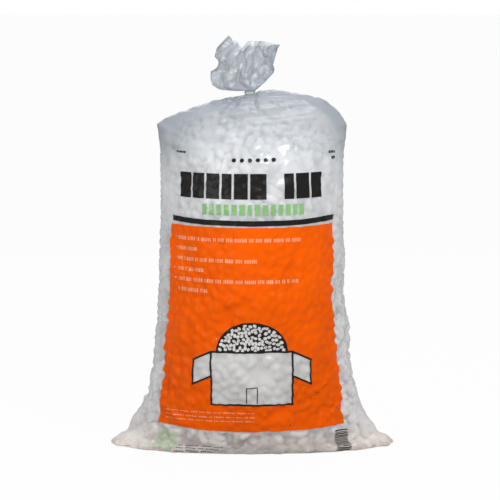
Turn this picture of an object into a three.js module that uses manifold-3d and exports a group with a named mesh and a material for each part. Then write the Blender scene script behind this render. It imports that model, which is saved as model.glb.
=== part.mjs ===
// A pillow bag of clear film filled with loose packing peanuts and gathered shut at the neck.
// Millimetres, +Z up. The origin is the middle of the flat patch that the bag stands on, +X is
// to the right of the printed front and the front faces -Y.
//
// The bag is lay-flat tube, heat sealed straight across its foot. Full of peanuts the tube is
// round at mid height, where its girth sets the width. Towards the foot it flattens into a
// lens whose two ends are the seal's corners, and towards the top it narrows to a gathered neck,
// which a turn of tape holds. Above the tape the loose end of the tube stands open as a tuft.
import * as THREE from "three";
import { mergeVertices } from "three/addons/utils/BufferGeometryUtils.js";
import Module from "manifold-3d";

// Driving dimensions.
const LAY_FLAT_WIDTH = 610; // width of the empty tube, from fold to fold
const GIRTH = 2 * LAY_FLAT_WIDTH;
const SHOULDER_HEIGHT = 684; // top corners of the full bag
const NECK_HEIGHT = 747; // underside of the gathered neck
const TAPE_HEIGHT = 6; // width of the narrow tape round the neck
const BAG_HEIGHT = 869; // tip of the tuft
const NECK_RADIUS = 10; // film bunched together
const NECK_BORE = 3; // air way left through the bunched film
const FILM_WALL = 1; // the real film is 0.06 mm, too thin for a solid
const FILL_GAP = 0.4; // between the film and the fill
const TAPE_WALL = 1.2;
const TAPE_GAP = 0.35; // between the tape and the bunched film
const TAPE_FLAG = 14; // the tape's two ends, pressed together behind the neck
const DOME_LEAN = 0.11; // the filled top leans this much, higher on the right
const RING_SIDES = 44;
const CURVE_STEPS = 26; // rings from the foot to the neck

const wasm = await Module();
wasm.setup();

// One ring of the outer surface: its height, half width, half depth, how pointed its two ends
// are (1 is an ellipse, 2 a lens) and how far it is shifted along X.
const ring = (z, halfWidth, halfDepth, point = 1, shift = 0) => ({
  z,
  halfWidth,
  halfDepth,
  point,
  shift,
});

// Half depth that gives an ellipse of this half width the tube's girth.
function depthFor(halfWidth) {
  const round = GIRTH / (2 * Math.PI);
  return Math.sqrt(Math.max(2 * round * round - halfWidth * halfWidth, 0));
}

const full = (z, halfWidth, point = 1) => ring(z, halfWidth, depthFor(halfWidth), point);

// The filled sack, from the floor to where the film gathers.
const SACK = [
  ring(0, 299, 116, 1.15),
  ring(8, 303, 128, 1.25),
  ring(22, 280, 135, 1.4),
  ring(40, 260, 143, 1.25),
  ring(72, 240, 151, 1.12),
  full(120, 224, 1.05),
  full(175, 211),
  full(250, 203),
  full(320, 196),
  full(400, 194),
  full(540, 192),
  ring(620, 193, 186),
  ring(655, 198, 166, 1.1),
  ring(SHOULDER_HEIGHT, 199, 134, 1.3),
  ring(704, 182, 108, 1.3),
  ring(722, 156, 86, 1.2),
  ring(735, 120, 62, 1.1),
  ring(742, 78, 40),
  ring(NECK_HEIGHT - 2, 30, 20, 1, -4),
];

// The gathered neck under the tape, then the tuft, leaning to the left.
const NECK = [
  ring(NECK_HEIGHT + 1, NECK_RADIUS, NECK_RADIUS, 1, -4),
  ring(NECK_HEIGHT + 1 + TAPE_HEIGHT, NECK_RADIUS, NECK_RADIUS, 1, -4),
];
const TUFT = [
  ring(764, 44, 22, 1, -26),
  ring(780, 58, 32, 1, -27),
  ring(804, 60, 38, 1, -17),
  ring(832, 64, 40, 1, -13),
  ring(BAG_HEIGHT, 60, 38, 1, -4),
];

// Rings evenly spread along a smooth curve through the given ones.
function smoothRings(rings, steps) {
  const keys = ["z", "halfWidth", "halfDepth", "point", "shift"];
  const places = rings.map((r) => new THREE.Vector3(r.z, r.halfWidth, r.halfDepth));
  const shapes = rings.map((r) => new THREE.Vector3(r.point, r.shift, 0));
  const curve = new THREE.CatmullRomCurve3(places, false, "centripetal");
  const shape = new THREE.CatmullRomCurve3(shapes, false, "catmullrom", 0);
  return Array.from({ length: steps + 1 }, (_, i) => {
    const p = curve.getPoint(i / steps);
    const s = shape.getPoint(i / steps);
    return Object.fromEntries(keys.map((k, n) => [k, [p.x, p.y, p.z, s.x, s.y][n]]));
  });
}

// The filled top leans: it stands a little higher on the right. The lean fades out at the
// shoulders, at the neck and down the sack.
function leanAt(x, z) {
  const rise = THREE.MathUtils.smoothstep(z, 600, 715);
  const end = 1 - THREE.MathUtils.smoothstep(z, NECK_HEIGHT - 16, NECK_HEIGHT - 2);
  const side = 1 - Math.min(Math.abs(x) / 215, 1) ** 6;
  return DOME_LEAN * x * rise * end * side;
}

// A point of a ring, at an angle counted from +X.
function ringPoint(r, angle) {
  const sine = Math.sin(angle);
  const x = r.halfWidth * Math.cos(angle) + r.shift;
  const y = r.halfDepth * Math.sign(sine) * Math.abs(sine) ** r.point;
  return [x, y, r.z + leanAt(x, r.z)];
}

// A closed solid that runs through a stack of rings, with flat ends.
function stackedSolid(rings) {
  const points = rings.flatMap((r) =>
    Array.from({ length: RING_SIDES }, (_, i) =>
      ringPoint(r, (i / RING_SIDES) * 2 * Math.PI),
    ),
  );
  const faces = [];
  for (let j = 0; j + 1 < rings.length; j++)
    for (let i = 0; i < RING_SIDES; i++) {
      const a = j * RING_SIDES + i;
      const b = j * RING_SIDES + ((i + 1) % RING_SIDES);
      faces.push(a, b, b + RING_SIDES, a, b + RING_SIDES, a + RING_SIDES);
    }
  const top = (rings.length - 1) * RING_SIDES;
  for (let i = 0; i < RING_SIDES / 2; i++) {
    const [near, far] = [i, RING_SIDES - i];
    const strip = [near, near + 1, far - 1, far % RING_SIDES];
    for (const [a, b, c] of [[0, 1, 2], [0, 2, 3]]) {
      const corners = [strip[a], strip[b], strip[c]];
      if (new Set(corners).size < 3) continue;
      faces.push(corners[2], corners[1], corners[0]);
      faces.push(...corners.map((n) => n + top));
    }
  }
  return solidFrom(points, faces);
}

function solidFrom(points, faces) {
  const mesh = new wasm.Mesh({
    numProp: 3,
    vertProperties: new Float32Array(points.flat()),
    triVerts: new Uint32Array(faces),
  });
  return new wasm.Manifold(mesh);
}

// A three.js geometry as a solid, and a solid as a three.js geometry.
function solidOf(geometry) {
  geometry.deleteAttribute("normal");
  geometry.deleteAttribute("uv");
  const merged = mergeVertices(geometry, 1e-3);
  return new wasm.Manifold(
    new wasm.Mesh({
      numProp: 3,
      vertProperties: merged.attributes.position.array,
      triVerts: new Uint32Array(merged.index.array),
    }),
  );
}

function geometryOf(solid) {
  const mesh = solid.getMesh();
  const geometry = new THREE.BufferGeometry();
  geometry.setAttribute("position", new THREE.BufferAttribute(mesh.vertProperties, 3));
  geometry.setIndex(new THREE.BufferAttribute(mesh.triVerts, 1));
  geometry.computeVertexNormals();
  return geometry;
}

// The same rings, moved inwards by a wall. Where the surface lies flat the wall is taken off
// its height, and where it stands upright off its width. Ears and neck keep an air way.
function inset(rings, wall) {
  return rings.map((r, j) => {
    const below = rings[Math.max(j - 1, 0)];
    const above = rings[Math.min(j + 1, rings.length - 1)];
    const run = (above.halfWidth - below.halfWidth + above.halfDepth - below.halfDepth) / 2;
    const slope = Math.atan2(-run, above.z - below.z);
    const upright = wall * Math.max(Math.cos(slope), 0.35) * r.point;
    return {
      ...r,
      z: r.z - wall * Math.sin(slope),
      halfWidth: Math.max(r.halfWidth - 1.3 * upright, NECK_BORE),
      halfDepth: Math.max(r.halfDepth - 1.1 * upright, NECK_BORE),
    };
  });
}

const sack = smoothRings(SACK, CURVE_STEPS);

// The room inside the sack, up to a height, with a flat foot one wall above the floor.
function room(wall, top) {
  const [foot, ...above] = inset(sack, wall);
  return [{ ...foot, z: wall }, ...above.filter((r) => r.z < top)];
}

// The film: one skin from the sealed foot, through the neck, to the open end of the tuft.
function bagFilm() {
  const outside = stackedSolid([...sack, ...NECK, ...TUFT]);
  const sackRoom = room(FILM_WALL, NECK_HEIGHT - 4);
  const bore = NECK.map((r) => ({ ...r, halfWidth: NECK_BORE, halfDepth: NECK_BORE }));
  const tuftRoom = inset(TUFT, FILM_WALL);
  const mouth = { ...tuftRoom.at(-1), z: BAG_HEIGHT + 5 };
  const inside = stackedSolid([...sackRoom, ...bore, ...tuftRoom, mouth]);
  return outside.subtract(inside);
}

// The fill: the peanuts inside, as one mass with a slack top. It stops short of the seal's
// corners and of the shoulders, where the film is empty.
function peanutFill() {
  const packed = room(FILM_WALL + FILL_GAP, NECK_HEIGHT - 22).map((r) => ({
    ...r,
    halfWidth: r.halfWidth / r.point ** 0.45,
    halfDepth: r.halfDepth / r.point ** 0.25,
    point: Math.min(r.point, 1.1),
  }));
  return stackedSolid(packed);
}

// The tape: one turn round the bunched film, with its ends stuck together as a flag behind.
function neckTape() {
  const inner = NECK_RADIUS + TAPE_GAP;
  const outer = inner + TAPE_WALL;
  const profile = [
    [inner, 0],
    [outer, 0],
    [outer, TAPE_HEIGHT],
    [inner, TAPE_HEIGHT],
    [inner, 0],
  ].map(([r, z]) => new THREE.Vector2(r, z));
  const turn = new THREE.LatheGeometry(profile, 32).rotateX(Math.PI / 2);
  const flag = new THREE.BoxGeometry(2 * TAPE_WALL, TAPE_FLAG, TAPE_HEIGHT);
  flag.translate(0, inner + TAPE_WALL / 2 + TAPE_FLAG / 2, TAPE_HEIGHT / 2);
  return solidOf(turn).add(solidOf(flag));
}

const finish = (color, roughness, opacity = 1) =>
  new THREE.MeshStandardMaterial({
    color,
    roughness,
    metalness: 0,
    transparent: opacity < 1,
    opacity,
  });

function piece(name, solid, material) {
  const mesh = new THREE.Mesh(geometryOf(solid), material);
  mesh.name = name;
  return mesh;
}

const film = piece("bag_film", bagFilm(), finish(0xdfe3e8, 0.25, 0.4));
const fill = piece("peanut_fill", peanutFill(), finish(0xf1f0ec, 0.85));
const tape = piece("neck_tape", neckTape(), finish(0xe6e9ea, 0.3, 0.7));
tape.position.set(NECK[0].shift, 0, NECK[0].z);

const bag = new THREE.Group();
bag.add(film, fill, tape);
export default bag;
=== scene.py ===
"""A pillow bag of clear film, full of loose packing peanuts and gathered shut at the neck.

Metres, +Z up. The printed front faces -Y. The film is one tube: a grid of cells that runs
round the bag and up it, from the heat seal underneath, through the neck, to the open tuft.
Everything printed on the film is laid out flat on that grid and then carried onto it.
"""
import math

import bmesh
import bpy
import numpy as np
from mathutils import Matrix, Vector, kdtree, noise


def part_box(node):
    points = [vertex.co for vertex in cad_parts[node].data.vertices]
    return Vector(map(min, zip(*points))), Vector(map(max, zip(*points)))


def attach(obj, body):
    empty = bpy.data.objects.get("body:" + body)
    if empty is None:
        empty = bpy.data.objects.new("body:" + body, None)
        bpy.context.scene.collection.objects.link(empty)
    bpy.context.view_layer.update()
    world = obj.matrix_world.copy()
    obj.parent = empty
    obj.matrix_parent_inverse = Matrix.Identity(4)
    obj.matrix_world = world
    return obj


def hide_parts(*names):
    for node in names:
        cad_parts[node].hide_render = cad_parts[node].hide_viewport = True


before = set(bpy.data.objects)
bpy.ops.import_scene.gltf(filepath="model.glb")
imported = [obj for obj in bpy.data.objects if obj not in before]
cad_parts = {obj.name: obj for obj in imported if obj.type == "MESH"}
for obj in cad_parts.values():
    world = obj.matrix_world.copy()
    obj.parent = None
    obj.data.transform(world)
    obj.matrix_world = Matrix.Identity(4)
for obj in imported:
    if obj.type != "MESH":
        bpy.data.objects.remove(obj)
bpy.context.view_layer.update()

# ---------------------------------------------------------------------------
# The bag's plan
# ---------------------------------------------------------------------------
MM = 0.001
GIRTH = 1.220  # round the lay-flat tube
COLUMNS = 288  # film cells round the bag, from the middle of the back to the left
CELL_X = GIRTH / COLUMNS
CELL_Z = 0.0046  # film cell up the bag
NECK_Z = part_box("neck_tape")[0].z
TAPE_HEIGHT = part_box("neck_tape")[1].z - NECK_Z
NECK_X = (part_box("neck_tape")[0].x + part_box("neck_tape")[1].x) / 2
NECK_RADIUS = 0.0098
LEAN = 0.11  # the filled top stands higher on the right
FLOOR_GAP = 0.0005  # the film stops this far above the floor

# One ring of the sack: height, half width, half depth, and how pointed its ends are.
FOOT_RINGS = (
    (0.0006, 0.299, 0.000, 1.15),
    (0.0008, 0.299, 0.060, 1.15),
    (0.0014, 0.300, 0.116, 1.15),
)
SACK_RINGS = (
    (0.006, 0.303, 0.127, 1.20),
    (0.013, 0.297, 0.131, 1.32),
    (0.022, 0.279, 0.135, 1.40),
    (0.033, 0.266, 0.140, 1.34),
    (0.048, 0.254, 0.146, 1.20),
    (0.066, 0.244, 0.151, 1.12),
    (0.088, 0.232, 0.155, 1.08),
    (0.112, 0.225, 0.161, 1.05),
    (0.143, 0.217, 0.169, 1.02),
    (0.175, 0.211, 0.177, 1.00),
    (0.250, 0.203, 0.185, 1.00),
    (0.320, 0.196, 0.192, 1.00),
    (0.400, 0.194, 0.1943, 1.00),
    (0.540, 0.192, 0.196, 1.00),
    (0.620, 0.193, 0.186, 1.00),
    (0.655, 0.198, 0.166, 1.10),
    (0.684, 0.200, 0.134, 1.30),
    (0.704, 0.182, 0.108, 1.30),
    (0.722, 0.154, 0.086, 1.20),
    (0.734, 0.120, 0.062, 1.10),
    (0.741, 0.078, 0.042, 1.00),
    (0.7455, 0.030, 0.020, 1.00),
)

rng = np.random.default_rng(7)


def smoothstep(value, low, high):
    """0 below low, 1 above high and a smooth curve between."""
    t = np.clip((value - low) / (high - low), 0, 1)
    return t * t * (3 - 2 * t)


def noise_at(points, scale, seed=0.0, octaves=1, stretch=(1, 1, 1)):
    """Smooth noise, about -1 to 1, at each point. A larger scale makes larger blobs."""
    shift = Vector((seed * 7.31, seed * 3.77, seed * 5.13))
    flat = points.reshape(-1, 3) / scale / np.array(stretch)
    found = [noise.fractal(Vector(p) + shift, 1.0, 2.0, octaves) for p in flat.tolist()]
    return np.array(found).reshape(points.shape[:-1])


def creases_at(points, scale, seed=0.0, stretch=(1, 1, 1)):
    """Sharp crumple lines, 0 on a line and about 1 in the middle of a facet."""
    shift = Vector((seed * 4.91, seed * 8.17, seed * 2.39))
    flat = points.reshape(-1, 3) / scale / np.array(stretch)
    found = []
    for p in flat.tolist():
        near = noise.voronoi(Vector(p) + shift)[0]
        found.append(near[1] - near[0])
    return np.array(found).reshape(points.shape[:-1])


def spread(keys, spacing, soften=6):
    """Rows evenly spaced along a smoothed line through the given rows."""
    keys = np.array(keys, dtype=float)

    def run(rows):
        step = np.diff(rows, axis=0)
        length = np.sqrt(step[:, 0] ** 2 + (step[:, 1] ** 2 + step[:, 2] ** 2) / 2)
        return np.concatenate([[0], np.cumsum(length)])

    length = run(keys)
    fine = np.arange(0, length[-1], 0.002)
    rows = np.stack([np.interp(fine, length, column) for column in keys.T], axis=1)
    for _ in range(soften):
        rows[1:-1] = (rows[:-2] + 2 * rows[1:-1] + rows[2:]) / 4
    length = run(rows)
    count = round(length[-1] / spacing)
    even = np.linspace(0, length[-1], count + 1)
    return np.stack([np.interp(even, length, column) for column in rows.T], axis=1)


def quarter_arc(row):
    """Angles that cut a quarter of a ring into film cells of equal length."""
    _, width, depth, point = row[:4]
    angle = np.linspace(0, math.pi / 2, 400)
    x = width * np.sin(angle)
    y = depth * np.cos(angle) ** point
    length = np.concatenate([[0], np.cumsum(np.hypot(np.diff(x), np.diff(y)))])
    return np.interp(np.linspace(0, length[-1], COLUMNS // 4 + 1), length, angle)


def ring_of_points(row):
    """A ring of the sack as points, from the middle of the back, to the left and round."""
    z, width, depth, point = row[:4]
    angle = quarter_arc(row)
    x = width * np.sin(angle)
    y = depth * np.cos(angle) ** point
    back_left = np.stack([-x, y], axis=1)[:-1]
    left_front = np.stack([-x, -y], axis=1)[::-1][:-1]
    front_right = np.stack([x, -y], axis=1)[:-1]
    right_back = np.stack([x, y], axis=1)[::-1][:-1]
    plan = np.concatenate([back_left, left_front, front_right, right_back])
    return np.column_stack([plan, np.full(len(plan), z)])


def normals_of(grid):
    """Outward normals of a grid that closes on itself sideways."""
    along = np.roll(grid, -1, axis=1) - np.roll(grid, 1, axis=1)
    up = np.gradient(grid, axis=0)
    normal = np.cross(along, up)
    size = np.linalg.norm(normal, axis=2, keepdims=True)
    return normal / np.maximum(size, 1e-12)


def sack_shape():
    """The filled sack with no bumps, from the seal underneath to just below the neck."""
    rows = spread(FOOT_RINGS + SACK_RINGS, CELL_Z)
    grid = np.array([ring_of_points(row) for row in rows])
    x, z = grid[..., 0], grid[..., 2]
    # The seal's two corners stand a little off the floor, and the left side sags over its own.
    ear = smoothstep(np.abs(x), 0.21, 0.30) * (1 - smoothstep(z, 0.0, 0.012))
    grid[..., 2] += 0.0015 * ear
    sag = np.exp(-(((z - 0.062) / 0.026) ** 2)) * smoothstep(-x, 0.16, 0.24)
    # The slack top stands higher on the right, where it swells up beside the neck.
    beside = np.where(x > 0, smoothstep(x, 0.008, 0.018), smoothstep(-x, 0.010, 0.034))
    high = smoothstep(z, 0.705, 0.735)
    rise = smoothstep(z, 0.600, 0.715) * (1 - high * (1 - beside))
    lean = LEAN * x + 0.07 * np.maximum(x, 0) * (1 - smoothstep(x, 0.04, 0.12)) * high
    lean += 0.005 * smoothstep(x, 0.008, 0.020) * (1 - smoothstep(x, 0.03, 0.09)) * high
    lean -= 0.003 * smoothstep(-x, 0.008, 0.03) * (1 - smoothstep(-x, 0.06, 0.13)) * high
    grid[..., 2] += lean * rise * (1 - np.minimum(np.abs(x) / 0.215, 1) ** 6)
    shoulders = 0.008 * smoothstep(-x, 0.13, 0.20) - 0.006 * smoothstep(x, 0.14, 0.20)
    grid[..., 2] += shoulders * smoothstep(z, 0.60, 0.68)
    # The left shoulder ends in a folded point.
    corner = np.exp(-np.abs(z - 0.686) / 0.010) * smoothstep(-x, 0.15, 0.20)
    grid[..., 0] += NECK_X * smoothstep(z, 0.70, 0.745) - 0.004 * sag - 0.001 * corner
    return grid


# The tuft seen from the front, in millimetres. Its two sides run up from the tape, and its open
# edge runs from the top of the left side to the top of the right side.
TUFT_LEFT = ((-14, 755), (-38, 755), (-67, 757), (-84, 766), (-88, 780), (-86, 796), (-72, 804),
             (-69, 816), (-79, 827), (-75, 843), (-58, 863), (-49, 871))
TUFT_RIGHT = ((7, 755), (25, 771), (45, 793), (47, 801), (44, 809), (54, 843), (60, 852))
TUFT_EDGE = ((-49, 871), (-43, 864), (-41, 858), (-34, 860), (-19, 844), (-8, 860), (15, 859),
             (60, 852))
TUFT_ROWS = 34
TUFT_DEPTH = (9.0, 18.0, 27.0, 25.0, 20.0, 15.0)  # from its middle to its front, tape to edge


def along(line, share):
    """Points at a share of the way along a line of points."""
    line = np.array(line, dtype=float)
    length = np.concatenate([[0], np.cumsum(np.linalg.norm(np.diff(line, axis=0), axis=1))])
    return np.stack([np.interp(share * length[-1], length, column) for column in line.T], axis=-1)


def gathers(folds, tightness, start):
    """How half of the tube folds to and fro: where it runs across, -1 to 1, and how deep."""
    place = np.linspace(0, 1, COLUMNS // 2 + 1)
    uneven = 1.1 * np.sin(3.3 * math.pi * place + start)
    turn = tightness * np.sin(2 * math.pi * folds * place + uneven)
    across = np.cumsum(np.cos(turn))
    across = 2 * (across - across[0]) / (across[-1] - across[0]) - 1
    deep = np.cumsum(np.sin(turn)) * CELL_X * 1000
    deep -= deep[0] + (deep[-1] - deep[0]) * place
    deep -= np.mean(deep) * np.sin(math.pi * place)
    return across, deep


def tuft_shape():
    """The loose end of the tube above the tape: it flares, folds over itself and stands open."""
    quarter = COLUMNS // 4
    share = np.linspace(0, 1, TUFT_ROWS)
    left, right = along(TUFT_LEFT, share), along(TUFT_RIGHT, share)
    grid = np.zeros((TUFT_ROWS, COLUMNS, 3))
    for side, folds, start, tightness in ((-1, 3, 0.4, 1.35), (1, 4, 2.2, 1.5)):
        across, deep = gathers(folds, tightness, start)
        if side == 1:
            across, deep = across[::-1], deep[::-1]
        spot = (across[None, :] + 1) / 2
        up = share[:, None]
        edge = along(TUFT_EDGE, spot[0].clip(0, 1))
        edge[:, 1] -= 5 * (side + 1) * np.sin(math.pi * spot[0].clip(0, 1))
        foot = along((TUFT_LEFT[0], TUFT_RIGHT[0]), spot[0].clip(0, 1))
        corners = (1 - spot) * (1 - up), spot * (1 - up), (1 - spot) * up, spot * up
        ends = left[0], right[0], left[-1], right[-1]
        flat = (1 - spot)[..., None] * left[:, None] + spot[..., None] * right[:, None]
        flat += (1 - up)[..., None] * foot[None] + up[..., None] * edge[None]
        flat -= sum(c[..., None] * e for c, e in zip(corners, ends))
        swell = np.interp(share, np.linspace(0, 1, len(TUFT_DEPTH)), TUFT_DEPTH)[:, None]
        round_ = np.sqrt(np.maximum(1 - (2 * spot - 1) ** 2, 0)) ** 0.7
        loose = smoothstep(up, 0.0, 0.5)
        y = side * swell * round_ + deep[None, :] * loose * 0.26
        half = np.stack([flat[..., 0], y, flat[..., 1]], axis=-1) * MM
        if side == -1:
            grid[:, quarter : 3 * quarter + 1] = half
        else:
            wrapped = (np.arange(2 * quarter + 1) + 3 * quarter) % COLUMNS
            inner = slice(1, -1)
            grid[:, wrapped[inner]] = half[:, inner]
    return crumpled(grid, share)


def crumpled(grid, share):
    """Breaks the tuft into facets, with sharp lines between them."""
    loose = smoothstep(share, 0.06, 0.40)[:, None]
    front = np.sign(grid[..., 1] + 1e-6)
    big = creases_at(grid, 0.040, seed=2, stretch=(0.8, 2.0, 1.1)) - 0.35
    small = creases_at(grid, 0.018, seed=5, stretch=(0.8, 1.6, 1.0)) - 0.35
    grid[..., 1] += front * (0.016 * big + 0.008 * small) * loose
    sway = noise_at(grid, 0.040, seed=9)
    grid[..., 0] += 0.0025 * sway * loose
    grid[..., 2] += 0.0015 * noise_at(grid, 0.030, seed=10) * loose
    return grid


def neck_shape():
    """The film bunched together where the tape holds it."""
    angle = np.arange(COLUMNS) / COLUMNS * 2 * math.pi + math.pi / 2
    heights = np.linspace(NECK_Z - 0.001, NECK_Z + TAPE_HEIGHT + 0.001, 4)
    grid = np.zeros((len(heights), COLUMNS, 3))
    for j, z in enumerate(heights):
        radius = NECK_RADIUS * (0.9 + 0.09 * np.sin(24 * angle))
        x = NECK_X + radius * np.cos(angle)
        grid[j] = np.stack([x, radius * np.sin(angle), np.full(COLUMNS, z)], axis=1)
    return grid


# ---------------------------------------------------------------------------
# Peanuts
# ---------------------------------------------------------------------------
PEANUT_RADIUS = 0.0096
KINDS = 9  # different peanuts
kind_length = np.linspace(0.007, 0.022, KINDS)  # between the centres of the two round ends
kind_bend = np.array([2, 5, 3, 6, 4, 7, 3, 6, 5]) * 0.001
OUTER_COUNT = 1650
INNER_COUNT = 1250


def area_of_cells(grid):
    """The area of each film cell."""
    along = np.roll(grid, -1, axis=1)[:-1] - grid[:-1]
    up = grid[1:] - grid[:-1]
    return np.linalg.norm(np.cross(along, up), axis=2)


def slack_of(grid):
    """How far the film stands off the fill: nothing on the sides, most at the shoulders."""
    x, z = grid[..., 0], grid[..., 2]
    corner = smoothstep(z, 0.62, 0.70) * smoothstep(np.abs(x), 0.10, 0.20)
    crown = smoothstep(z, 0.70, 0.745)
    return 0.001 + 0.022 * corner + 0.010 * crown


def corner_of(points):
    """1 in the two flat corners of the seal, 0 in the rest of the bag."""
    out = smoothstep(np.abs(points[..., 0]), 0.215, 0.265)
    return out * (1 - smoothstep(points[..., 2], 0.036, 0.075))


def pack_peanuts(grid, normal):
    """Lets peanuts settle against the film and each other. Returns their three-ball chains."""
    slack = slack_of(grid)
    area = area_of_cells(grid)
    area[grid[:-1, :, 2] > 0.745] = 0
    chance = (area / area.sum()).ravel()
    count = OUTER_COUNT + INNER_COUNT
    cell = rng.choice(len(chance), size=count, p=chance)
    start = grid[:-1].reshape(-1, 3)[cell]
    out = normal[:-1].reshape(-1, 3)[cell]
    depth = np.where(np.arange(count) < OUTER_COUNT, 1.0, 2.7) * PEANUT_RADIUS
    centre = start - out * (depth + slack[:-1].ravel()[cell])[:, None]
    kind = rng.integers(0, KINDS, count)
    size = rng.uniform(0.9, 1.08, count)
    way = rng.normal(size=(count, 3))
    way -= 0.8 * (way * out).sum(axis=1, keepdims=True) * out
    way /= np.linalg.norm(way, axis=1, keepdims=True)
    half = (kind_length[kind] * size / 2)[:, None]
    chain = np.stack([centre - way * half, centre, centre + way * half], axis=1)
    bend = (kind_bend[kind] * size)[:, None]
    side = np.cross(way, rng.normal(size=(count, 3)))
    side /= np.linalg.norm(side, axis=1, keepdims=True)
    radius = np.repeat(PEANUT_RADIUS * size, 3)
    owner = np.repeat(np.arange(count), 3)

    flat = grid.reshape(-1, 3)
    flat_normal = normal.reshape(-1, 3)
    flat_slack = slack.ravel()
    keep = np.arange(0, len(flat), 4)
    wall = kdtree.KDTree(len(keep))
    for k in keep:
        wall.insert(flat[k], int(k))
    wall.balance()

    rounds = 36
    for turn in range(rounds):
        ball = chain.reshape(-1, 3)
        if turn % 6 == 0:
            tree = kdtree.KDTree(len(ball))
            for k, p in enumerate(ball):
                tree.insert(p, k)
            tree.balance()
            pairs = []
            for k, p in enumerate(ball):
                pairs += [(k, m) for _, m, _ in tree.find_range(p, 0.024) if m > k and owner[m] != owner[k]]
            first, second = np.array(pairs).T
        gap = ball[second] - ball[first]
        far = np.linalg.norm(gap, axis=1)
        wanted = (radius[first] + radius[second]) * 0.97
        push = np.maximum(wanted - far, 0)[:, None] * gap / np.maximum(far, 1e-6)[:, None] * 0.32
        np.add.at(ball, second, push)
        np.add.at(ball, first, -push)
        near = np.array([wall.find(p)[1] for p in ball])
        inside = ((ball - flat[near]) * flat_normal[near]).sum(axis=1)
        over = inside + radius + flat_slack[near]
        outer = np.repeat(np.arange(count) < OUTER_COUNT, 3)
        pull = np.where(over > 0, over, np.where(outer, over * 0.10, 0))
        ball -= pull[:, None] * flat_normal[near]
        ball[:, 2] = np.maximum(ball[:, 2], radius + 0.002)
        chain = ball.reshape(-1, 3, 3)
        way = chain[:, 2] - chain[:, 0]
        way /= np.linalg.norm(way, axis=1, keepdims=True)
        offset = chain[:, 1] - (chain[:, 0] + chain[:, 2]) / 2
        offset -= (offset * way).sum(axis=1, keepdims=True) * way
        side = side * 0.002 + offset
        side -= (side * way).sum(axis=1, keepdims=True) * way
        side /= np.maximum(np.linalg.norm(side, axis=1, keepdims=True), 1e-9)
        middle = chain.mean(axis=1)
        chain = np.stack(
            [
                middle - way * half - side * bend / 3,
                middle + side * bend * 2 / 3,
                middle + way * half - side * bend / 3,
            ],
            axis=1,
        )
    return {"chain": chain, "way": way, "side": side, "kind": kind, "size": size}


def covered(packed, film, film_normal):
    """Which peanuts lie under the film. Those at the flat corners and the neck may not."""
    sides = kdtree.KDTree(film.shape[0] * film.shape[1])
    flat, flat_normal = film.reshape(-1, 3), film_normal.reshape(-1, 3)
    for k, p in enumerate(flat):
        sides.insert(p, k)
    sides.balance()
    chain = packed["chain"]
    under = np.ones(len(chain), dtype=bool)
    for n in range(len(chain)):
        for ball in chain[n]:
            k = sides.find(ball)[1]
            if (ball - flat[k]) @ flat_normal[k] + PEANUT_RADIUS * packed["size"][n] * 1.12 > 0:
                under[n] = False
    return under


def peanut_mesh(kind):
    """One puffed peanut: a short bent sausage with lumpy sides, along Z and bent towards X."""
    bm = bmesh.new()
    bmesh.ops.create_uvsphere(bm, u_segments=8, v_segments=7, radius=PEANUT_RADIUS)
    half = kind_length[kind] / 2
    for v in bm.verts:
        lump = 1 + 0.10 * noise.noise(v.co * 130 + Vector((kind * 3.1, 0, 0)))
        v.co.x *= lump
        v.co.y *= lump
        v.co.z += half * max(-1, min(1, v.co.z / PEANUT_RADIUS * 1.5))
        reach = v.co.z / (half + PEANUT_RADIUS)
        v.co.x += kind_bend[kind] * (2 / 3 - reach * reach)
    mesh = bpy.data.meshes.new(f"peanut_{kind}")
    bm.to_mesh(mesh)
    bm.free()
    return mesh


def heap(name, packed, chosen):
    """The chosen peanuts as one piece."""
    kinds = [peanut_mesh(k) for k in range(KINDS)]
    bm = bmesh.new()
    for n in chosen:
        copy = kinds[packed["kind"][n]].copy()
        z = packed["way"][n]
        x = packed["side"][n]
        y = np.cross(z, x)
        turn = np.eye(4)
        turn[:3, :3] = np.stack([x, y, z], axis=1) * packed["size"][n]
        turn[:3, 3] = packed["chain"][n].mean(axis=0)
        copy.transform(Matrix(turn.tolist()))
        bm.from_mesh(copy)
        bpy.data.meshes.remove(copy)
    for mesh in kinds:
        bpy.data.meshes.remove(mesh)
    return finished(name, bm)


# ---------------------------------------------------------------------------
# Making pieces
# ---------------------------------------------------------------------------
def finished(name, bm, smooth=True):
    """Turns a bmesh into a named piece in the scene."""
    mesh = bpy.data.meshes.new(name)
    bm.to_mesh(mesh)
    bm.free()
    for face in mesh.polygons:
        face.use_smooth = smooth
    piece = bpy.data.objects.new(name, mesh)
    bpy.context.scene.collection.objects.link(piece)
    return piece


def tube_piece(name, grid):
    """A grid of points, closed sideways, as one skin."""
    rows = len(grid)
    columns = grid.shape[1]
    bm = bmesh.new()
    bm.loops.layers.uv.new("film")
    bmesh.ops.create_grid(bm, x_segments=columns, y_segments=rows - 1, size=0.5, calc_uvs=True)
    bmesh.ops.triangulate(bm, faces=bm.faces, quad_method="FIXED")
    for v in bm.verts:
        i = round((v.co.x + 0.5) * columns) % columns
        j = round((v.co.y + 0.5) * (rows - 1))
        v.co = grid[j, i]
    bmesh.ops.remove_doubles(bm, verts=bm.verts, dist=1e-5)
    return finished(name, bm)


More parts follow.
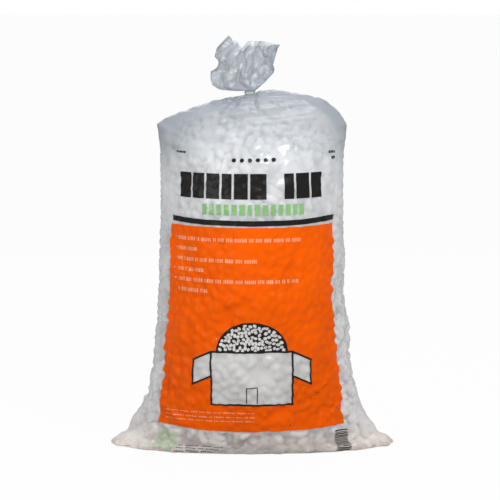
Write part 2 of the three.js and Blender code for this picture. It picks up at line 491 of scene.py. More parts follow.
def relief_over(grid, normal, packed):
    """Height of the film over its plain shape, where it is stretched over the peanuts."""
    rows, columns = grid.shape[:2]
    flat = grid.reshape(-1, 3)
    flat_normal = normal.reshape(-1, 3)
    tree = kdtree.KDTree(len(flat))
    for k, p in enumerate(flat):
        tree.insert(p, k)
    tree.balance()
    floor = np.full(len(flat), -0.02)
    outer = np.arange(OUTER_COUNT)
    chain = packed["chain"][outer]
    low, middle, high = chain[:, 0], chain[:, 1], chain[:, 2]
    balls = np.concatenate([low, middle, high, (low + middle) / 2, (middle + high) / 2])
    radius = np.tile(packed["size"][outer] * PEANUT_RADIUS * 1.1, 5)
    for ball, r in zip(balls, radius):
        hits = tree.find_range(ball, r * 1.9)
        if not hits:
            continue
        k = np.array([h[1] for h in hits])
        gap = ball - flat[k]
        along = (gap * flat_normal[k]).sum(axis=1)
        aside = (gap * gap).sum(axis=1) - along**2
        top = along + np.sqrt(np.maximum(r * r - aside, 0))
        top[aside > r * r] = -0.02
        floor[k] = np.maximum(floor[k], top)
    return floor.reshape(rows, columns)


def stretch_over(floor, rest, rounds=60, pull=0.05):
    """A skin drawn inwards to its rest height that can't go below the floor."""
    h = np.maximum(floor, rest)
    for _ in range(rounds):
        around = (np.roll(h, 1, axis=1) + np.roll(h, -1, axis=1)) / 4
        above = np.concatenate([h[1:], h[-1:]])
        below = np.concatenate([h[:1], h[:-1]])
        h = around + (above + below) / 4
        h += (rest - h) * pull
        h = np.maximum(h, floor)
    return h


# Creases that run down towards the middle from the lower sides of the front: where each is
# across and up the film, how far it reaches to either side, and how tall it stands.
CREASES = (
    (-0.185, 0.196, 0.060, 0.0055),
    (-0.205, 0.228, 0.045, 0.0040),
    (-0.190, 0.262, 0.055, 0.0045),
    (-0.200, 0.318, 0.045, 0.0035),
    (0.190, 0.200, 0.055, 0.0050),
    (0.205, 0.240, 0.045, 0.0035),
    (0.180, 0.270, 0.060, 0.0045),
    (0.195, 0.330, 0.050, 0.0035),
    (0.205, 0.400, 0.040, 0.0025),
)


def folds_of(grid):
    """The film's own folds and creases, as a height over its plain shape."""
    rows, columns = grid.shape[:2]
    across = (np.arange(columns) - columns / 2) * CELL_X * np.ones((rows, 1))
    up = np.arange(rows)[:, None] * CELL_Z * np.ones((1, columns))
    x, z = grid[..., 0], grid[..., 2]
    front = smoothstep(-grid[..., 1], 0.0, 0.05)

    def ridges(points, sharpness, seed):
        """Sharp ridges along the lines where a noise is nought."""
        return np.maximum(1 - sharpness * np.abs(noise_at(points, 1.0, seed=seed)), 0)

    height = np.zeros_like(up)
    for middle, level, reach, tall in CREASES:
        off = up - level - 1.7 * (across**2 - middle**2)
        fade = 1 - smoothstep(np.abs(across - middle), 0.3 * reach, reach)
        height += tall * np.exp(-np.abs(off) / 0.006) * fade * front
    edge = smoothstep(np.abs(across), 0.15, 0.20) * (1 - smoothstep(np.abs(across), 0.26, 0.33))
    edge *= smoothstep(up, 0.20, 0.30) * (1 - smoothstep(z, 0.5, 0.62))
    flat = np.stack([across / 0.07, up / 0.020, np.full_like(up, 11)], axis=-1)
    height += 0.0016 * ridges(flat, 3.2, 11) * edge
    # Pleats run down from the neck over the slack top, and die out at the shoulders.
    turn = np.arctan2(grid[..., 1], x - NECK_X)
    ring = np.stack([np.cos(turn) * 2.6, np.sin(turn) * 2.6, z / 0.16], axis=-1)
    pleat = ridges(ring, 2.6, 6)
    fine = ridges(ring * np.array([2.6, 2.6, 1.0]), 2.6, 8)
    top = smoothstep(z, 0.655, 0.715) * (1 - smoothstep(z, NECK_Z - 0.012, NECK_Z - 0.003))
    arch = ridges(np.stack([across / 0.22, up / 0.020, up * 0], axis=-1), 2.4, 21)
    near = smoothstep(z, 0.705, 0.735)
    # Beside the neck the top's rim is smoother.
    calm = 1 - 0.75 * smoothstep(np.abs(x), 0.07, 0.13) * smoothstep(z, 0.655, 0.69)
    height += (0.0018 * pleat + 0.0008 * fine) * top * near
    height += 0.0034 * calm * arch * smoothstep(z, 0.665, 0.70) * top
    swell = noise_at(grid, 0.075, seed=1) * (1 - smoothstep(z, 0.40, 0.60)) * smoothstep(z, 0.02, 0.06)
    height += 0.0060 * swell
    height += 0.0030 * noise_at(grid, 0.11, seed=12) * smoothstep(z, 0.40, 0.60) * (1 - top)
    sides = smoothstep(np.abs(x), 0.17, 0.21) * smoothstep(z, 0.03, 0.06) * (1 - smoothstep(z, 0.20, 0.34))
    height += 0.0065 * noise_at(grid, 0.034, seed=17) * sides
    facets = creases_at(grid, 0.060, seed=23, stretch=(1.3, 1.3, 0.8)) - 0.4
    height += 0.0050 * calm * facets * smoothstep(z, 0.50, 0.62) * (1 - smoothstep(z, 0.72, 0.74))
    tip = corner_of(grid)
    height += 0.0065 * noise_at(grid, 0.026, seed=14, stretch=(1.2, 1, 1)) * tip
    rim = 1 - smoothstep(z, 0.03, 0.07)
    height += 0.0060 * noise_at(grid, 0.022, seed=19) * rim
    return height


def linked(p, rest, rows, columns, step, stiffness):
    """Pulls pairs of film points towards their own distance. step is (rows, columns) apart."""
    count = p.shape[1]
    first = np.ix_(rows, columns)
    second = np.ix_(rows + step[0], (columns + step[1]) % count)
    gap = p[second] - p[first]
    far = np.maximum(np.linalg.norm(gap, axis=2, keepdims=True), 1e-7)
    move = gap * ((far - rest[first][..., None]) / far) * (0.5 * stiffness)
    p[first] += move
    p[second] -= move


def lengths(p, step):
    """How far each point is from the one that is step (rows, columns) away."""
    rows, columns = step
    far = np.zeros(p.shape[:2])
    there = np.roll(p, -columns, axis=1)
    far[: len(p) - rows] = np.linalg.norm(there[rows:] - p[: len(p) - rows], axis=2)
    return far


def drape(start, base, normal, floor, spare_around, spare_up, hold, rounds):
    """Lets the film buckle: it has more length than its plain shape, so it folds to hold it.

    hold pulls each point back to the plain shape, and floor keeps it off the peanuts. A hold of 1
    fixes a point.
    """
    p = start.copy()
    rows, columns = p.shape[:2]
    links = []
    for step, spare, stiffness in (
        ((0, 1), spare_around, 1.0),
        ((1, 0), spare_up, 1.0),
        ((1, 1), (spare_around + spare_up) / 2, 0.35),
        ((1, -1), (spare_around + spare_up) / 2, 0.35),
        ((0, 2), spare_around * 0.98 - 0.002, 0.45),
        ((2, 0), spare_up * 0.98 - 0.002, 0.45),
    ):
        links.append((step, lengths(base, step) * (1 + spare), stiffness))
    every = np.arange(columns)
    fixed = hold >= 1
    pin = start[fixed]
    for _ in range(rounds):
        for step, rest, stiffness in links:
            dj, di = step
            if dj == 0:
                for k in range(2):
                    chosen = every[(every // di) % 2 == k]
                    linked(p, rest, np.arange(rows), chosen, step, stiffness)
            else:
                for k in range(2):
                    down = np.arange(rows - dj)
                    linked(p, rest, down[(down // dj) % 2 == k], every, step, stiffness)
        p += (base - p) * hold[..., None]
        out = ((p - base) * normal).sum(axis=2)
        p += np.maximum(floor - out, 0)[..., None] * normal
        p[fixed] = pin
    return p


# ---------------------------------------------------------------------------
# Materials
# ---------------------------------------------------------------------------
def material(name, color, roughness, **sockets):
    mat = bpy.data.materials.new(name)
    mat.use_nodes = True
    shader = mat.node_tree.nodes["Principled BSDF"]
    shader.inputs["Base Color"].default_value = (*color, 1)
    shader.inputs["Roughness"].default_value = roughness
    for key, value in sockets.items():
        shader.inputs[key.replace("_", " ")].default_value = value
    return mat, mat.node_tree, shader


def node(tree, kind, **settings):
    made = tree.nodes.new(kind)
    for key, value in settings.items():
        if key in made.inputs:
            made.inputs[key].default_value = value
        else:
            setattr(made, key, value)
    return made


BAG_TOP = 0.87  # the film's tones are set by height, from the floor to here


def film_material():
    """Clear film: see-through over the peanuts, cloudier where it is slack or seen edge on."""
    mat, tree, shader = material("clear_film", (0.6, 0.6, 0.6), 0.21)
    place = node(tree, "ShaderNodeTexCoord")
    part = node(tree, "ShaderNodeSeparateXYZ")
    tree.links.new(place.outputs["Object"], part.inputs["Vector"])

    def clouds(**settings):
        made = node(tree, "ShaderNodeTexNoise", **settings)
        tree.links.new(place.outputs["Object"], made.inputs["Vector"])
        return made.outputs["Fac"]

    def ramp(value, low, high, start, end):
        made = node(tree, "ShaderNodeMapRange", interpolation_type="SMOOTHSTEP")
        for name, number in (("From Min", low), ("From Max", high), ("To Min", start), ("To Max", end)):
            made.inputs[name].default_value = number
        tree.links.new(value, made.inputs["Value"])
        return made.outputs["Result"]

    def combine(operation, first, second):
        made = node(tree, "ShaderNodeMath", operation=operation)
        for k, value in enumerate((first, second)):
            if isinstance(value, float):
                made.inputs[k].default_value = value
            else:
                tree.links.new(value, made.inputs[k])
        return made.outputs[0]

    def mix(factor, first, color):
        made = node(tree, "ShaderNodeMix", data_type="RGBA")
        tree.links.new(factor, made.inputs["Factor"])
        tree.links.new(first, made.inputs[6])
        made.inputs[7].default_value = (*color, 1)
        return made.outputs[2]

    facing = node(tree, "ShaderNodeLayerWeight", Blend=0.32)
    edge_on = ramp(facing.outputs["Facing"], 0.0, 1.0, 0.0, 0.36)
    milky = ramp(part.outputs["Z"], 0.36, 0.58, 0.0, 0.20)
    slack = ramp(part.outputs["Z"], 0.70, 0.78, 0.0, -0.06)
    thick = ramp(part.outputs["Z"], 0.03, 0.09, 0.05, 0.0)
    patchy = ramp(clouds(Scale=11.0, Detail=4.0), 0.3, 0.7, 0.0, 0.14)
    veil = combine("ADD", combine("ADD", edge_on, milky), combine("ADD", patchy, slack))
    veil = combine("ADD", combine("ADD", veil, thick), 0.34)
    limit = node(tree, "ShaderNodeClamp", Max=0.92)
    tree.links.new(veil, limit.inputs["Value"])
    tree.links.new(limit.outputs[0], shader.inputs["Alpha"])

    # The tones are painted light and shade by height: the same clear film is warm at the foot, grey low
    # down, lighter over the middle, and darker and bluer over the slack top.
    light_and_shade_ramp = node(tree, "ShaderNodeValToRGB")
    tones = ((0.0, (0.76, 0.66, 0.58)), (0.055, (0.60, 0.58, 0.60)), (0.30, (0.53, 0.53, 0.555)),
             (0.45, (0.58, 0.60, 0.63)), (0.55, (0.70, 0.725, 0.75)), (0.61, (0.73, 0.755, 0.785)),
             (0.65, (0.61, 0.635, 0.67)), (0.69, (0.42, 0.445, 0.485)), (0.73, (0.30, 0.34, 0.385)))
    while len(light_and_shade_ramp.color_ramp.elements) < len(tones):
        light_and_shade_ramp.color_ramp.elements.new(0.5)
    for element, (spot, color) in zip(light_and_shade_ramp.color_ramp.elements, tones):
        element.position = spot / BAG_TOP
        element.color = (*color, 1)
    level = node(tree, "ShaderNodeMath", operation="DIVIDE")
    tree.links.new(part.outputs["Z"], level.inputs[0])
    level.inputs[1].default_value = BAG_TOP
    tree.links.new(level.outputs[0], light_and_shade_ramp.inputs["Fac"])
    # Above the print the film lies in soft facets; painted shade makes some of them a little darker, where
    # they turn from the light.
    facet = ramp(clouds(Scale=17.0, Detail=2.0, Distortion=0.8), 0.42, 0.62, 0.0, 1.0)
    shade = combine("MULTIPLY", facet, ramp(part.outputs["Z"], 0.36, 0.60, 0.0, 0.34))
    color = mix(shade, light_and_shade_ramp.outputs["Color"], (0.40, 0.43, 0.47))
    # Painted shade: the shoulders are empty film, painted darker and bluer than film with peanuts under it,
    # the left one more than the right, where less light falls.
    out = combine("ABSOLUTE", combine("SUBTRACT", part.outputs["X"], 0.02), 0.0)
    shoulders = ramp(part.outputs["Z"], 0.58, 0.68, 0.0, 0.9)
    empty = combine("MULTIPLY", ramp(out, 0.10, 0.185, 0.0, 1.0), shoulders)
    color = mix(empty, color, (0.245, 0.285, 0.33))
    # Painted light: lighter patches at random over the crumpled loose end, where its facets catch the
    # light.
    crumple = ramp(clouds(Scale=34.0, Detail=3.0, Distortion=1.2), 0.50, 0.66, 0.0, 1.0)
    tuft_light_patches = combine("MULTIPLY", crumple, ramp(part.outputs["Z"], 0.745, 0.775, 0.0, 0.8))
    color = mix(tuft_light_patches, color, (0.66, 0.71, 0.77))
    # Painted shadow: dark brown spots at random in the foot, where shadows fall between its lumps against
    # the floor.
    lump = ramp(clouds(Scale=42.0, Detail=1.0), 0.44, 0.58, 0.0, 1.0)
    dark = combine("MULTIPLY", lump, ramp(part.outputs["Z"], 0.003, 0.026, 0.60, 0.0))
    color = mix(dark, color, (0.20, 0.165, 0.135))
    tree.links.new(color, shader.inputs["Base Color"])

    bump = node(tree, "ShaderNodeBump", Strength=0.3, Distance=0.002)
    tree.links.new(clouds(Scale=46.0, Detail=3.0), bump.inputs["Height"])
    tree.links.new(bump.outputs["Normal"], shader.inputs["Normal"])
    return mat


def mottled(tree, place, tones, scale, detail, edges=(0.3, 0.7)):
    """A noise over the piece, and a colour that drifts between two tones with it."""
    found = node(tree, "ShaderNodeTexNoise", Scale=scale, Detail=detail)
    tree.links.new(place.outputs["Object"], found.inputs["Vector"])
    ramp = node(tree, "ShaderNodeValToRGB")
    for stop, edge, color in zip(ramp.color_ramp.elements, edges, tones):
        stop.position = edge
        stop.color = (*color, 1)
    tree.links.new(found.outputs["Fac"], ramp.inputs["Fac"])
    return found.outputs["Fac"], ramp.outputs["Color"]


def tape_material():
    """Clear tape with faint streaks where it is stuck to itself."""
    mat, tree, shader = material("clear_tape", (0.55, 0.58, 0.61), 0.28)
    place = node(tree, "ShaderNodeTexCoord")
    tones = (0.46, 0.49, 0.52), (0.70, 0.73, 0.76)
    streaks, color = mottled(tree, place, tones, 180.0, 2.0, edges=(0.35, 0.65))
    tree.links.new(color, shader.inputs["Base Color"])
    cover = node(tree, "ShaderNodeMapRange")
    cover.inputs["To Min"].default_value = 0.45
    cover.inputs["To Max"].default_value = 0.8
    tree.links.new(streaks, cover.inputs["Value"])
    tree.links.new(cover.outputs["Result"], shader.inputs["Alpha"])
    return mat


def peanut_material():
    """Puffed starch: nearly white, matt and finely pitted."""
    mat, tree, shader = material("starch_foam", (0.86, 0.85, 0.82), 0.85)
    place = node(tree, "ShaderNodeTexCoord")
    _, color = mottled(tree, place, ((0.80, 0.79, 0.76), (0.92, 0.915, 0.90)), 45.0, 2.0)
    tree.links.new(color, shader.inputs["Base Color"])
    pits = node(tree, "ShaderNodeTexVoronoi", Scale=700.0)
    tree.links.new(place.outputs["Object"], pits.inputs["Vector"])
    bump = node(tree, "ShaderNodeBump", Strength=0.35, Distance=0.0008)
    tree.links.new(pits.outputs["Distance"], bump.inputs["Height"])
    tree.links.new(bump.outputs["Normal"], shader.inputs["Normal"])
    return mat


def ink_material(name, color, roughness=0.30, gloss=0.5, cover=1.0):
    """Ink that is a little uneven, and darker towards the foot with painted shade, as less light falls
    there.
    """
    mat, tree, shader = material(name, color, roughness, Alpha=cover)
    shader.inputs["Specular IOR Level"].default_value = gloss
    place = node(tree, "ShaderNodeTexCoord")
    tones = [c * 0.86 for c in color], [min(1, c * 1.08) for c in color]
    _, uneven = mottled(tree, place, tones, 9.0, 3.0)
    part = node(tree, "ShaderNodeSeparateXYZ")
    tree.links.new(place.outputs["Object"], part.inputs["Vector"])
    # Painted shade: the ink's colour is scaled down towards the foot.
    depth = node(tree, "ShaderNodeMapRange")
    for key, number in (("From Min", 0.05), ("From Max", 0.40), ("To Min", 0.80), ("To Max", 1.0)):
        depth.inputs[key].default_value = number
    tree.links.new(part.outputs["Z"], depth.inputs["Value"])
    lower_shade = node(tree, "ShaderNodeVectorMath", operation="SCALE")
    tree.links.new(uneven, lower_shade.inputs[0])
    tree.links.new(depth.outputs["Result"], lower_shade.inputs["Scale"])
    tree.links.new(lower_shade.outputs["Vector"], shader.inputs["Base Color"])
    return mat


# ---------------------------------------------------------------------------
# Print: flat shapes in millimetres, across from the middle of the front and up from the seal
# ---------------------------------------------------------------------------
INK_LIFT = 0.16  # millimetres between one ink and what lies under it
PRINT_RISE = 3  # film cells from the seal to where the print is measured from

PANEL = ((-200, 580), (-208, 520), (-212, 420), (-216, 350), (-214, 267), (-217, 202), (-205, 152),
         (-110, 144), (0, 141), (110, 143), (204, 149), (212, 205), (210, 265), (201, 355), (204, 460),
         (207, 580))
BAR_TALL = 11  # the black bar over the panel
PATCH = ((-198, 84), (-152, 78), (-158, 134), (-202, 140))  # a plain field of pale green

# The drawing: an open box seen straight on, the same on both sides, with a heap of loose fill.
BOX_HALF_WIDTH = 86
BOX_LOW, BOX_HIGH = 204, 320
FLAP_REACH = 42
FLAP_DROP = 20
FLAP_TALL = 52
HEAP_HALF_WIDTH = 74
HEAP_TALL = 62


def lay(bm, outline, holes=()):
    """Adds a flat shape, with any holes in it, to a sheet of print."""
    edges = []
    for loop in (outline, *holes):
        corners = [bm.verts.new((across * MM, up * MM, 0)) for across, up in loop]
        edges += [bm.edges.new(pair) for pair in zip(corners, corners[1:] + corners[:1])]
    bmesh.ops.triangle_fill(bm, use_beauty=True, edges=edges)


def bar(bm, left, low, right, high):
    lay(bm, ((left, low), (right, low), (right, high), (left, high)))


def oval(across, up, half_width, half_height, sides=24, turn=0.0):
    """The outline of an ellipse."""
    points = []
    for k in range(sides):
        angle = 2 * math.pi * k / sides
        x, y = half_width * math.cos(angle), half_height * math.sin(angle)
        over = x * math.cos(turn) - y * math.sin(turn)
        rise = x * math.sin(turn) + y * math.cos(turn)
        points.append((across + over, up + rise))
    return points


def stroke(bm, line, width, closed=False):
    """Draws a line of even width through the points."""
    points = [Vector(p) for p in line]
    count = len(points)
    sides = []
    for k, p in enumerate(points):
        before = points[k - 1] if closed or k else points[k]
        after = points[(k + 1) % count] if closed or k + 1 < count else points[k]
        into = (p - before).normalized() if before != p else (after - p).normalized()
        out = (after - p).normalized() if after != p else into
        mean = (into + out).normalized()
        normal = Vector((-mean.y, mean.x)) * width / 2 / max(mean.dot(into), 0.35)
        sides.append((p + normal, p - normal))
    for k in range(count if closed else count - 1):
        (a, b), (c, d) = sides[k], sides[(k + 1) % count]
        lay(bm, (a, b, d, c))


def block_row(bm, left, low, right, high, widths, gap, draw):
    """A row of plain blocks of uneven width, where the real bag has a line of words."""
    across = left
    while True:
        width = draw.uniform(*widths)
        if across + width > right:
            break
        bar(bm, across, low, across + width, high)
        across += width + gap


def within(outline, across, up):
    """Whether a point lies inside an outline."""
    inside = False
    for (ax, ay), (bx, by) in zip(outline, outline[1:] + outline[:1]):
        if (ay > up) != (by > up) and across < ax + (up - ay) / (by - ay) * (bx - ax):
            inside = not inside
    return inside


def small_print(bm, left, low, right, tall, draw):
    """Groups of small plain blocks, where the real bag has a line of small words."""
    across = left
    while across < right:
        for _ in range(draw.integers(2, 8)):
            wide = draw.uniform(1.6, 2.8)
            bar(bm, across, low, across + wide, low + tall)
            across += wide + 1.5
        across += 3.5


def cut_to_cells(bm):
    """Cuts a flat sheet along the film's own cells, so that it bends just as the film does."""
    across = [v.co.x / CELL_X for v in bm.verts]
    up = [v.co.y / CELL_Z for v in bm.verts]
    slant = [a - b for a, b in zip(across, up)]
    for steps, along, pace in (
        (across, (1, 0, 0), (CELL_X, 0, 0)),
        (up, (0, 1, 0), (0, CELL_Z, 0)),
        (slant, (1 / CELL_X, -1 / CELL_Z, 0), (CELL_X, 0, 0)),
    ):
        normal = Vector(along)
        for k in range(math.ceil(min(steps)), math.floor(max(steps)) + 1):
            place = [k * distance for distance in pace]
            everything = bm.verts[:] + bm.edges[:] + bm.faces[:]
            bmesh.ops.bisect_plane(bm, geom=everything, dist=1e-7, plane_co=place, plane_no=normal)
    bmesh.ops.triangulate(bm, faces=bm.faces)


def carry_onto(bm, grid, normal, layer):
    """Moves a flat sheet onto the film, standing off it by a few hundredths of a millimetre."""
    places = np.array([v.co[:2] for v in bm.verts])
    column = places[:, 0] / CELL_X + COLUMNS / 2
    row = places[:, 1] / CELL_Z + PRINT_RISE
    i, j = np.floor(column + 1e-6).astype(int), np.floor(row + 1e-6).astype(int)
    a, b = (column - i)[:, None], (row - j)[:, None]
    right = a >= b

    def blend(field):
        start, far = field[j, i], field[j + 1, i + 1]
        beside = np.where(right, field[j, i + 1], field[j + 1, i])
        low = start + a * (beside - start) + b * (far - beside)
        high = start + b * (beside - start) + a * (far - beside)
        return np.where(right, low, high)

    out = blend(normal)
    out /= np.linalg.norm(out, axis=1, keepdims=True)
    moved = blend(grid) + out * layer * INK_LIFT * MM
    for v, place in zip(bm.verts, moved):
        v.co = place
    return out


def printed(name, bm, layer, mat):
    """A flat sheet of print as a piece that lies on the film."""
    for face in bm.faces:
        face.normal_update()
        if face.normal.z < 0:
            face.normal_flip()
    cut_to_cells(bm)
    out = carry_onto(bm, film_grid, film_normal, layer)
    piece = finished(name, bm)
    piece.data.normals_split_custom_set_from_vertices(out.tolist())
    piece.data.materials.append(mat)
    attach(piece, "root")
    return piece


def orange_field():
    """The orange panel, with the drawing left out of it."""
    bm = bmesh.new()
    lay(bm, PANEL, holes=(box_outline(),))
    return bm


def black_shapes(draw):
    """The bar over the panel, the dark behind the loose fill, and the rows of blocks and bars."""
    bm = bmesh.new()
    bowed = ((-196, 587), (-100, 584), (0, 583), (100, 584), (209, 587))
    lay(bm, [*bowed, *[(across, up + BAR_TALL) for across, up in reversed(bowed)]])
    lay(bm, heap_outline())
    for left, right in ((-168, 48), (68, 184)):
        block_row(bm, left, 638, right, 690, (20, 34), 5, draw)
    for low in (78, 87, 96):
        small_print(bm, -146, low, -66 - draw.uniform(0, 14), 3.4, draw)
    block_row(bm, -186, 733, -150, 738, (3, 7), 1.5, draw)
    block_row(bm, 190, 725, 216, 730, (3, 6), 1.5, draw)
    block_row(bm, 200, 713, 216, 719, (3, 6), 1.5, draw)
    # A stack of plain bars in the lower right corner, which slides left as the foot flares.
    up, top = 70.0, 134
    while up < top:
        thick = draw.uniform(1.2, 3.0)
        slide = 0.10 * (top - up) + 0.0030 * (top - up) ** 2
        bar(bm, 176 - slide, up, 207 - slide, up + thick)
        up += thick + draw.uniform(1.2, 2.4)
    return bm


def round_dots(bm, left, up, right, size, count):
    """A row of plain dots."""
    for k in range(count):
        lay(bm, oval(left + (right - left) * k / (count - 1), up, size, size, 16))


def heap_outline():
    """The heap's round top, from its right end over to its left end."""
    turns = np.linspace(0, math.pi, 26)
    return [(HEAP_HALF_WIDTH * math.cos(a), BOX_HIGH + HEAP_TALL * math.sin(a)) for a in turns]


def flap_outline(side):
    """One open flap: out from the box's top corner, hanging down a little."""
    near, far = side * BOX_HALF_WIDTH, side * (BOX_HALF_WIDTH + FLAP_REACH)
    low = BOX_HIGH - FLAP_TALL
    return [(near, low), (far, low - FLAP_DROP), (far, BOX_HIGH - FLAP_DROP), (near, BOX_HIGH)]


def box_outline():
    """The outline of the whole drawing."""
    foot = [(-BOX_HALF_WIDTH, BOX_LOW), (BOX_HALF_WIDTH, BOX_LOW)]
    return [*foot, *flap_outline(1), *heap_outline(), *flap_outline(-1)[::-1]]


def faint_lines(draw):
    """Rows of small blocks and dots on the orange panel."""
    bm = bmesh.new()
    for low in (184, 174, 165):
        small_print(bm, -192, low, 4, 2.6, draw)
    ends = (92, -120, -6, -122, 90, -98)
    for n, end in enumerate(ends):
        low = 550 - 21.4 * n
        if n < 5:
            lay(bm, oval(-186, low + 4, 2.0, 2.0, 8))
        small_print(bm, -176, low, end, 7.6, draw)
    return bm


def fill_spots():
    """Where each bit of loose fill in the drawing lies: its middle, half sizes and turn."""
    draw = np.random.default_rng(5)
    heap = [(across * 0.94, BOX_HIGH + (up - BOX_HIGH) * 0.94) for across, up in heap_outline()]
    spots = []
    for _ in range(2400):
        across = draw.uniform(-HEAP_HALF_WIDTH, HEAP_HALF_WIDTH)
        spot = (across, BOX_HIGH + draw.uniform(3, HEAP_TALL))
        shape = (draw.uniform(4.2, 5.2), draw.uniform(3.3, 4.0), draw.uniform(0, math.pi))
        if not within(heap, *spot):
            continue
        if all(math.dist(spot, other[0]) > 6.6 for other in spots):
            spots.append((spot, *shape))
    return spots


def loose_fill():
    """The pale bits of loose fill in the drawing."""
    bm = bmesh.new()
    for spot, wide, tall, turn in fill_spots():
        lay(bm, oval(*spot, wide - 0.3, tall - 0.3, 7, turn))
    return bm


def black_lines():
    """The lines of the drawing, and the row of dots above."""
    bm = bmesh.new()
    left, right = -BOX_HALF_WIDTH, BOX_HALF_WIDTH
    stroke(bm, ((left, BOX_LOW), (right, BOX_LOW), (right, BOX_HIGH), (left, BOX_HIGH)), 4.0, closed=True)
    for side in (-1, 1):
        stroke(bm, flap_outline(side), 4.0)
        stroke(bm, ((side * 11, BOX_LOW + 4), (side * 11, BOX_LOW + 40)), 1.8)
    stroke(bm, ((-11, BOX_LOW + 40), (11, BOX_LOW + 40)), 1.8)
    stroke(bm, heap_outline(), 3.4)
    round_dots(bm, -38, 718, 46, 4.6, 6)
    return bm


def green_shapes(draw):
    """The row of green blocks."""
    bm = bmesh.new()
    block_row(bm, -106, 605, 116, 627, (8.5, 11), 6.2, draw)
    return bm


def sheet_of(outline):
    """One flat field of ink."""
    bm = bmesh.new()
    lay(bm, outline)
    return bm


def core_shape():
    """A plain shape deep inside the fill, closed at both ends, that keeps it from looking hollow."""
    first = int(np.argmax(sack[:, 0, 2] > 0.05))
    rows = slice(first, -10, 4)
    grid = sack[rows, ::4] - 0.030 * sack_normal[rows, ::4]
    reach = np.minimum(0.185 / np.maximum(np.abs(grid[..., 0]), 0.001), 1)
    grid[..., 0] *= reach
    ends = []
    for row in (grid[0], grid[-1]):
        middle = row.mean(axis=0)
        ends.append(middle + (row - middle) * 0.02)
    return np.concatenate([ends[:1], grid, ends[1:]])


# ---------------------------------------------------------------------------
# Building
# ---------------------------------------------------------------------------
sack = sack_shape()
sack_normal = normals_of(sack)
packed = pack_peanuts(sack, sack_normal)
floor_height = relief_over(sack, sack_normal, packed) + 0.0008
x, z = sack[..., 0], sack[..., 2]
loose = smoothstep(z, 0.34, 0.62)
tight = 0.005 + 0.008 * smoothstep(z, 0.05, 0.10)
rest_height = -tight * (1 - loose)
front = smoothstep(-sack[..., 1], 0.05, 0.12) * (1 - smoothstep(np.abs(x), 0.13, 0.18))
relief = stretch_over(floor_height, rest_height, rounds=60, pull=0.07 - 0.045 * front)
corner = corner_of(sack)
relief = np.minimum(relief, 0.008 - 0.004 * corner)
near_neck = smoothstep(z, NECK_Z - 0.020, NECK_Z - 0.004)
relief *= (1 - near_neck) * (1 - 0.6 * corner)
relief += folds_of(sack)
relief *= smoothstep(z, 0.001, 0.006)
plain = np.concatenate([sack, neck_shape(), tuft_shape()])
base_shape = plain.copy()
base_shape[: len(sack)] += relief[..., None] * sack_normal
plain_normal = normals_of(plain)
floor_all = np.full(plain.shape[:2], -1.0)
free = (near_neck > 0) | (corner > 0.02) | (z < 0.012)
floor_all[: len(sack)] = np.where(free, -1.0, floor_height - relief)
# Spare film: how much longer it is than the plain shape.
height = plain[..., 2]
dome = smoothstep(height, 0.60, 0.71)
beside = smoothstep(np.abs(plain[..., 0]), 0.07, 0.13) * (height < NECK_Z)
spare_around = 0.004 + 0.012 * dome * (1 - 0.6 * beside)
spare_up = 0.006 + 0.012 * dome * (1 - 0.6 * beside)
hold = 0.030 - 0.012 * dome
hold[len(sack) - 2 :] = 1.0
hold[:4] = 1.0
wobble = noise_at(plain, 0.045, seed=3, octaves=2) * (0.0006 + 0.002 * dome * (1 - 0.7 * beside))
start = base_shape + (wobble * (hold < 1))[..., None] * plain_normal
rounds = 120
film_grid = drape(start, base_shape, plain_normal, floor_all, spare_around, spare_up, hold, rounds)

# Where the film has settled too low over a peanut, it is lifted clear of it.
slim = (near_neck > 0) | (corner > 0.02) | (z < 0.010)
settled = film_grid[: len(sack)]
settled_normal = normals_of(settled)
lift = relief_over(settled, settled_normal, packed) + 0.0006
lift = np.where(slim, 0, np.clip(lift, 0, 0.008))
settled += stretch_over(lift, lift * 0, rounds=3, pull=0.2)[..., None] * settled_normal
settled[..., 2] = np.maximum(settled[..., 2], FLOOR_GAP)
under = covered(packed, settled, normals_of(settled))

film = tube_piece("bag_skin", film_grid)
film.data.materials.append(film_material())
foam = peanut_material()
number = np.arange(OUTER_COUNT + INNER_COUNT)
outer = heap("outer_peanuts", packed, number[under & (number < OUTER_COUNT)])
inner = heap("inner_peanuts", packed, number[under & (number >= OUTER_COUNT)])
core = tube_piece("fill_core", core_shape())
for piece in (outer, inner, core):
    piece.data.materials.append(foam)

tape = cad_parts["neck_tape"]
tape.data.materials.clear()
tape.data.materials.append(tape_material())

for piece in (film, outer, inner, core):
    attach(piece, "root")
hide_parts("bag_film")
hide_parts("peanut_fill")


film_normal = normals_of(film_grid)
draw = np.random.default_rng(21)
orange = ink_material("orange_ink", (0.79, 0.098, 0.0), gloss=0.05)
black = ink_material("black_ink", (0.006, 0.0055, 0.005), 0.4, gloss=0.2)
pale = ink_material("pale_ink", (0.60, 0.595, 0.585))
faint = ink_material("faint_ink", (0.84, 0.33, 0.17))
green = ink_material("green_ink", (0.19, 0.42, 0.14))
wash = ink_material("thin_white_ink", (0.78, 0.79, 0.78), cover=0.55)
mint = ink_material("thin_green_ink", (0.62, 0.80, 0.52), cover=0.45)
printed("orange_print", orange_field(), 2, orange)
printed("white_wash", sheet_of(box_outline()), 1, wash)
printed("green_wash", sheet_of(PATCH), 1, mint)
printed("black_print", black_shapes(draw), 3, black)
printed("green_print", green_shapes(draw), 3, green)
printed("faint_print", faint_lines(draw), 4, faint)
printed("pale_print", loose_fill(), 4, pale)
printed("black_lines", black_lines(), 5, black)


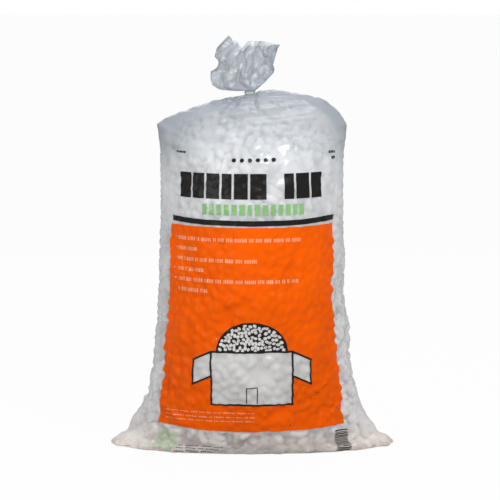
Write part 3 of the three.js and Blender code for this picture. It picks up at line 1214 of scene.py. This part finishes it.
# ---------------------------------------------------------------------------
# Floor, light and camera
# ---------------------------------------------------------------------------
def studio():
    bpy.context.scene.view_settings.view_transform = "Standard"
    bm = bmesh.new()
    bmesh.ops.create_grid(bm, x_segments=1, y_segments=1, size=40)
    ground = finished("floor", bm, smooth=False)
    mat, floor_tree, shader = material("floor_paper", (0.62, 0.61, 0.60), 0.9)
    shader.inputs["Specular IOR Level"].default_value = 0
    glow = node(floor_tree, "ShaderNodeEmission", Strength=1.0)
    seen = node(floor_tree, "ShaderNodeLightPath")
    blend = node(floor_tree, "ShaderNodeMixShader")
    part = node(floor_tree, "ShaderNodeMath", operation="MULTIPLY")
    part.inputs[1].default_value = 0.96
    floor_tree.links.new(seen.outputs["Is Camera Ray"], part.inputs[0])
    floor_tree.links.new(part.outputs[0], blend.inputs["Fac"])
    floor_tree.links.new(shader.outputs[0], blend.inputs[1])
    floor_tree.links.new(glow.outputs[0], blend.inputs[2])
    floor_tree.links.new(blend.outputs[0], floor_tree.nodes["Material Output"].inputs["Surface"])
    ground.data.materials.append(mat)
    world = bpy.data.worlds.new("studio")
    world.use_nodes = True
    tree = world.node_tree
    dim = tree.nodes["Background"]
    dim.inputs["Color"].default_value = (1, 1, 1, 1)
    dim.inputs["Strength"].default_value = 0.52
    white = node(tree, "ShaderNodeBackground", Strength=1.0)
    white.inputs["Color"].default_value = (1, 1, 1, 1)
    path = node(tree, "ShaderNodeLightPath")
    pick = node(tree, "ShaderNodeMixShader")
    tree.links.new(path.outputs["Is Camera Ray"], pick.inputs["Fac"])
    tree.links.new(dim.outputs[0], pick.inputs[1])
    tree.links.new(white.outputs[0], pick.inputs[2])
    tree.links.new(pick.outputs[0], tree.nodes["World Output"].inputs["Surface"])
    bpy.context.scene.world = world
    lamp("key", (1.4, -2.6, 2.5), 1.0, 80)
    lamp("fill", (-2.4, -2.3, 1.2), 1.4, 36)
    lamp("top", (0.2, 0.4, 2.8), 1.6, 24)
    lamp("rear", (-0.4, 3.0, 1.3), 1.6, 9)


def lamp(name, place, size, watts):
    data = bpy.data.lights.new(name, "AREA")
    data.size = size
    data.energy = watts
    made = bpy.data.objects.new(name, data)
    made.location = place
    made.rotation_euler = (Vector((0, 0, 0.4)) - Vector(place)).to_track_quat("-Z", "Y").to_euler()
    bpy.context.scene.collection.objects.link(made)


def camera():
    data = bpy.data.cameras.new("camera")
    data.sensor_width = 36
    data.lens = 170
    made = bpy.data.objects.new("camera", data)
    aim = Vector((-0.004, 0, 0.418))
    away = 5.0
    tilt = math.radians(7)
    made.location = aim + Vector((0, -away * math.cos(tilt), away * math.sin(tilt)))
    made.rotation_euler = (aim - made.location).to_track_quat("-Z", "Y").to_euler()
    bpy.context.scene.collection.objects.link(made)
    bpy.context.scene.camera = made


studio()
camera()
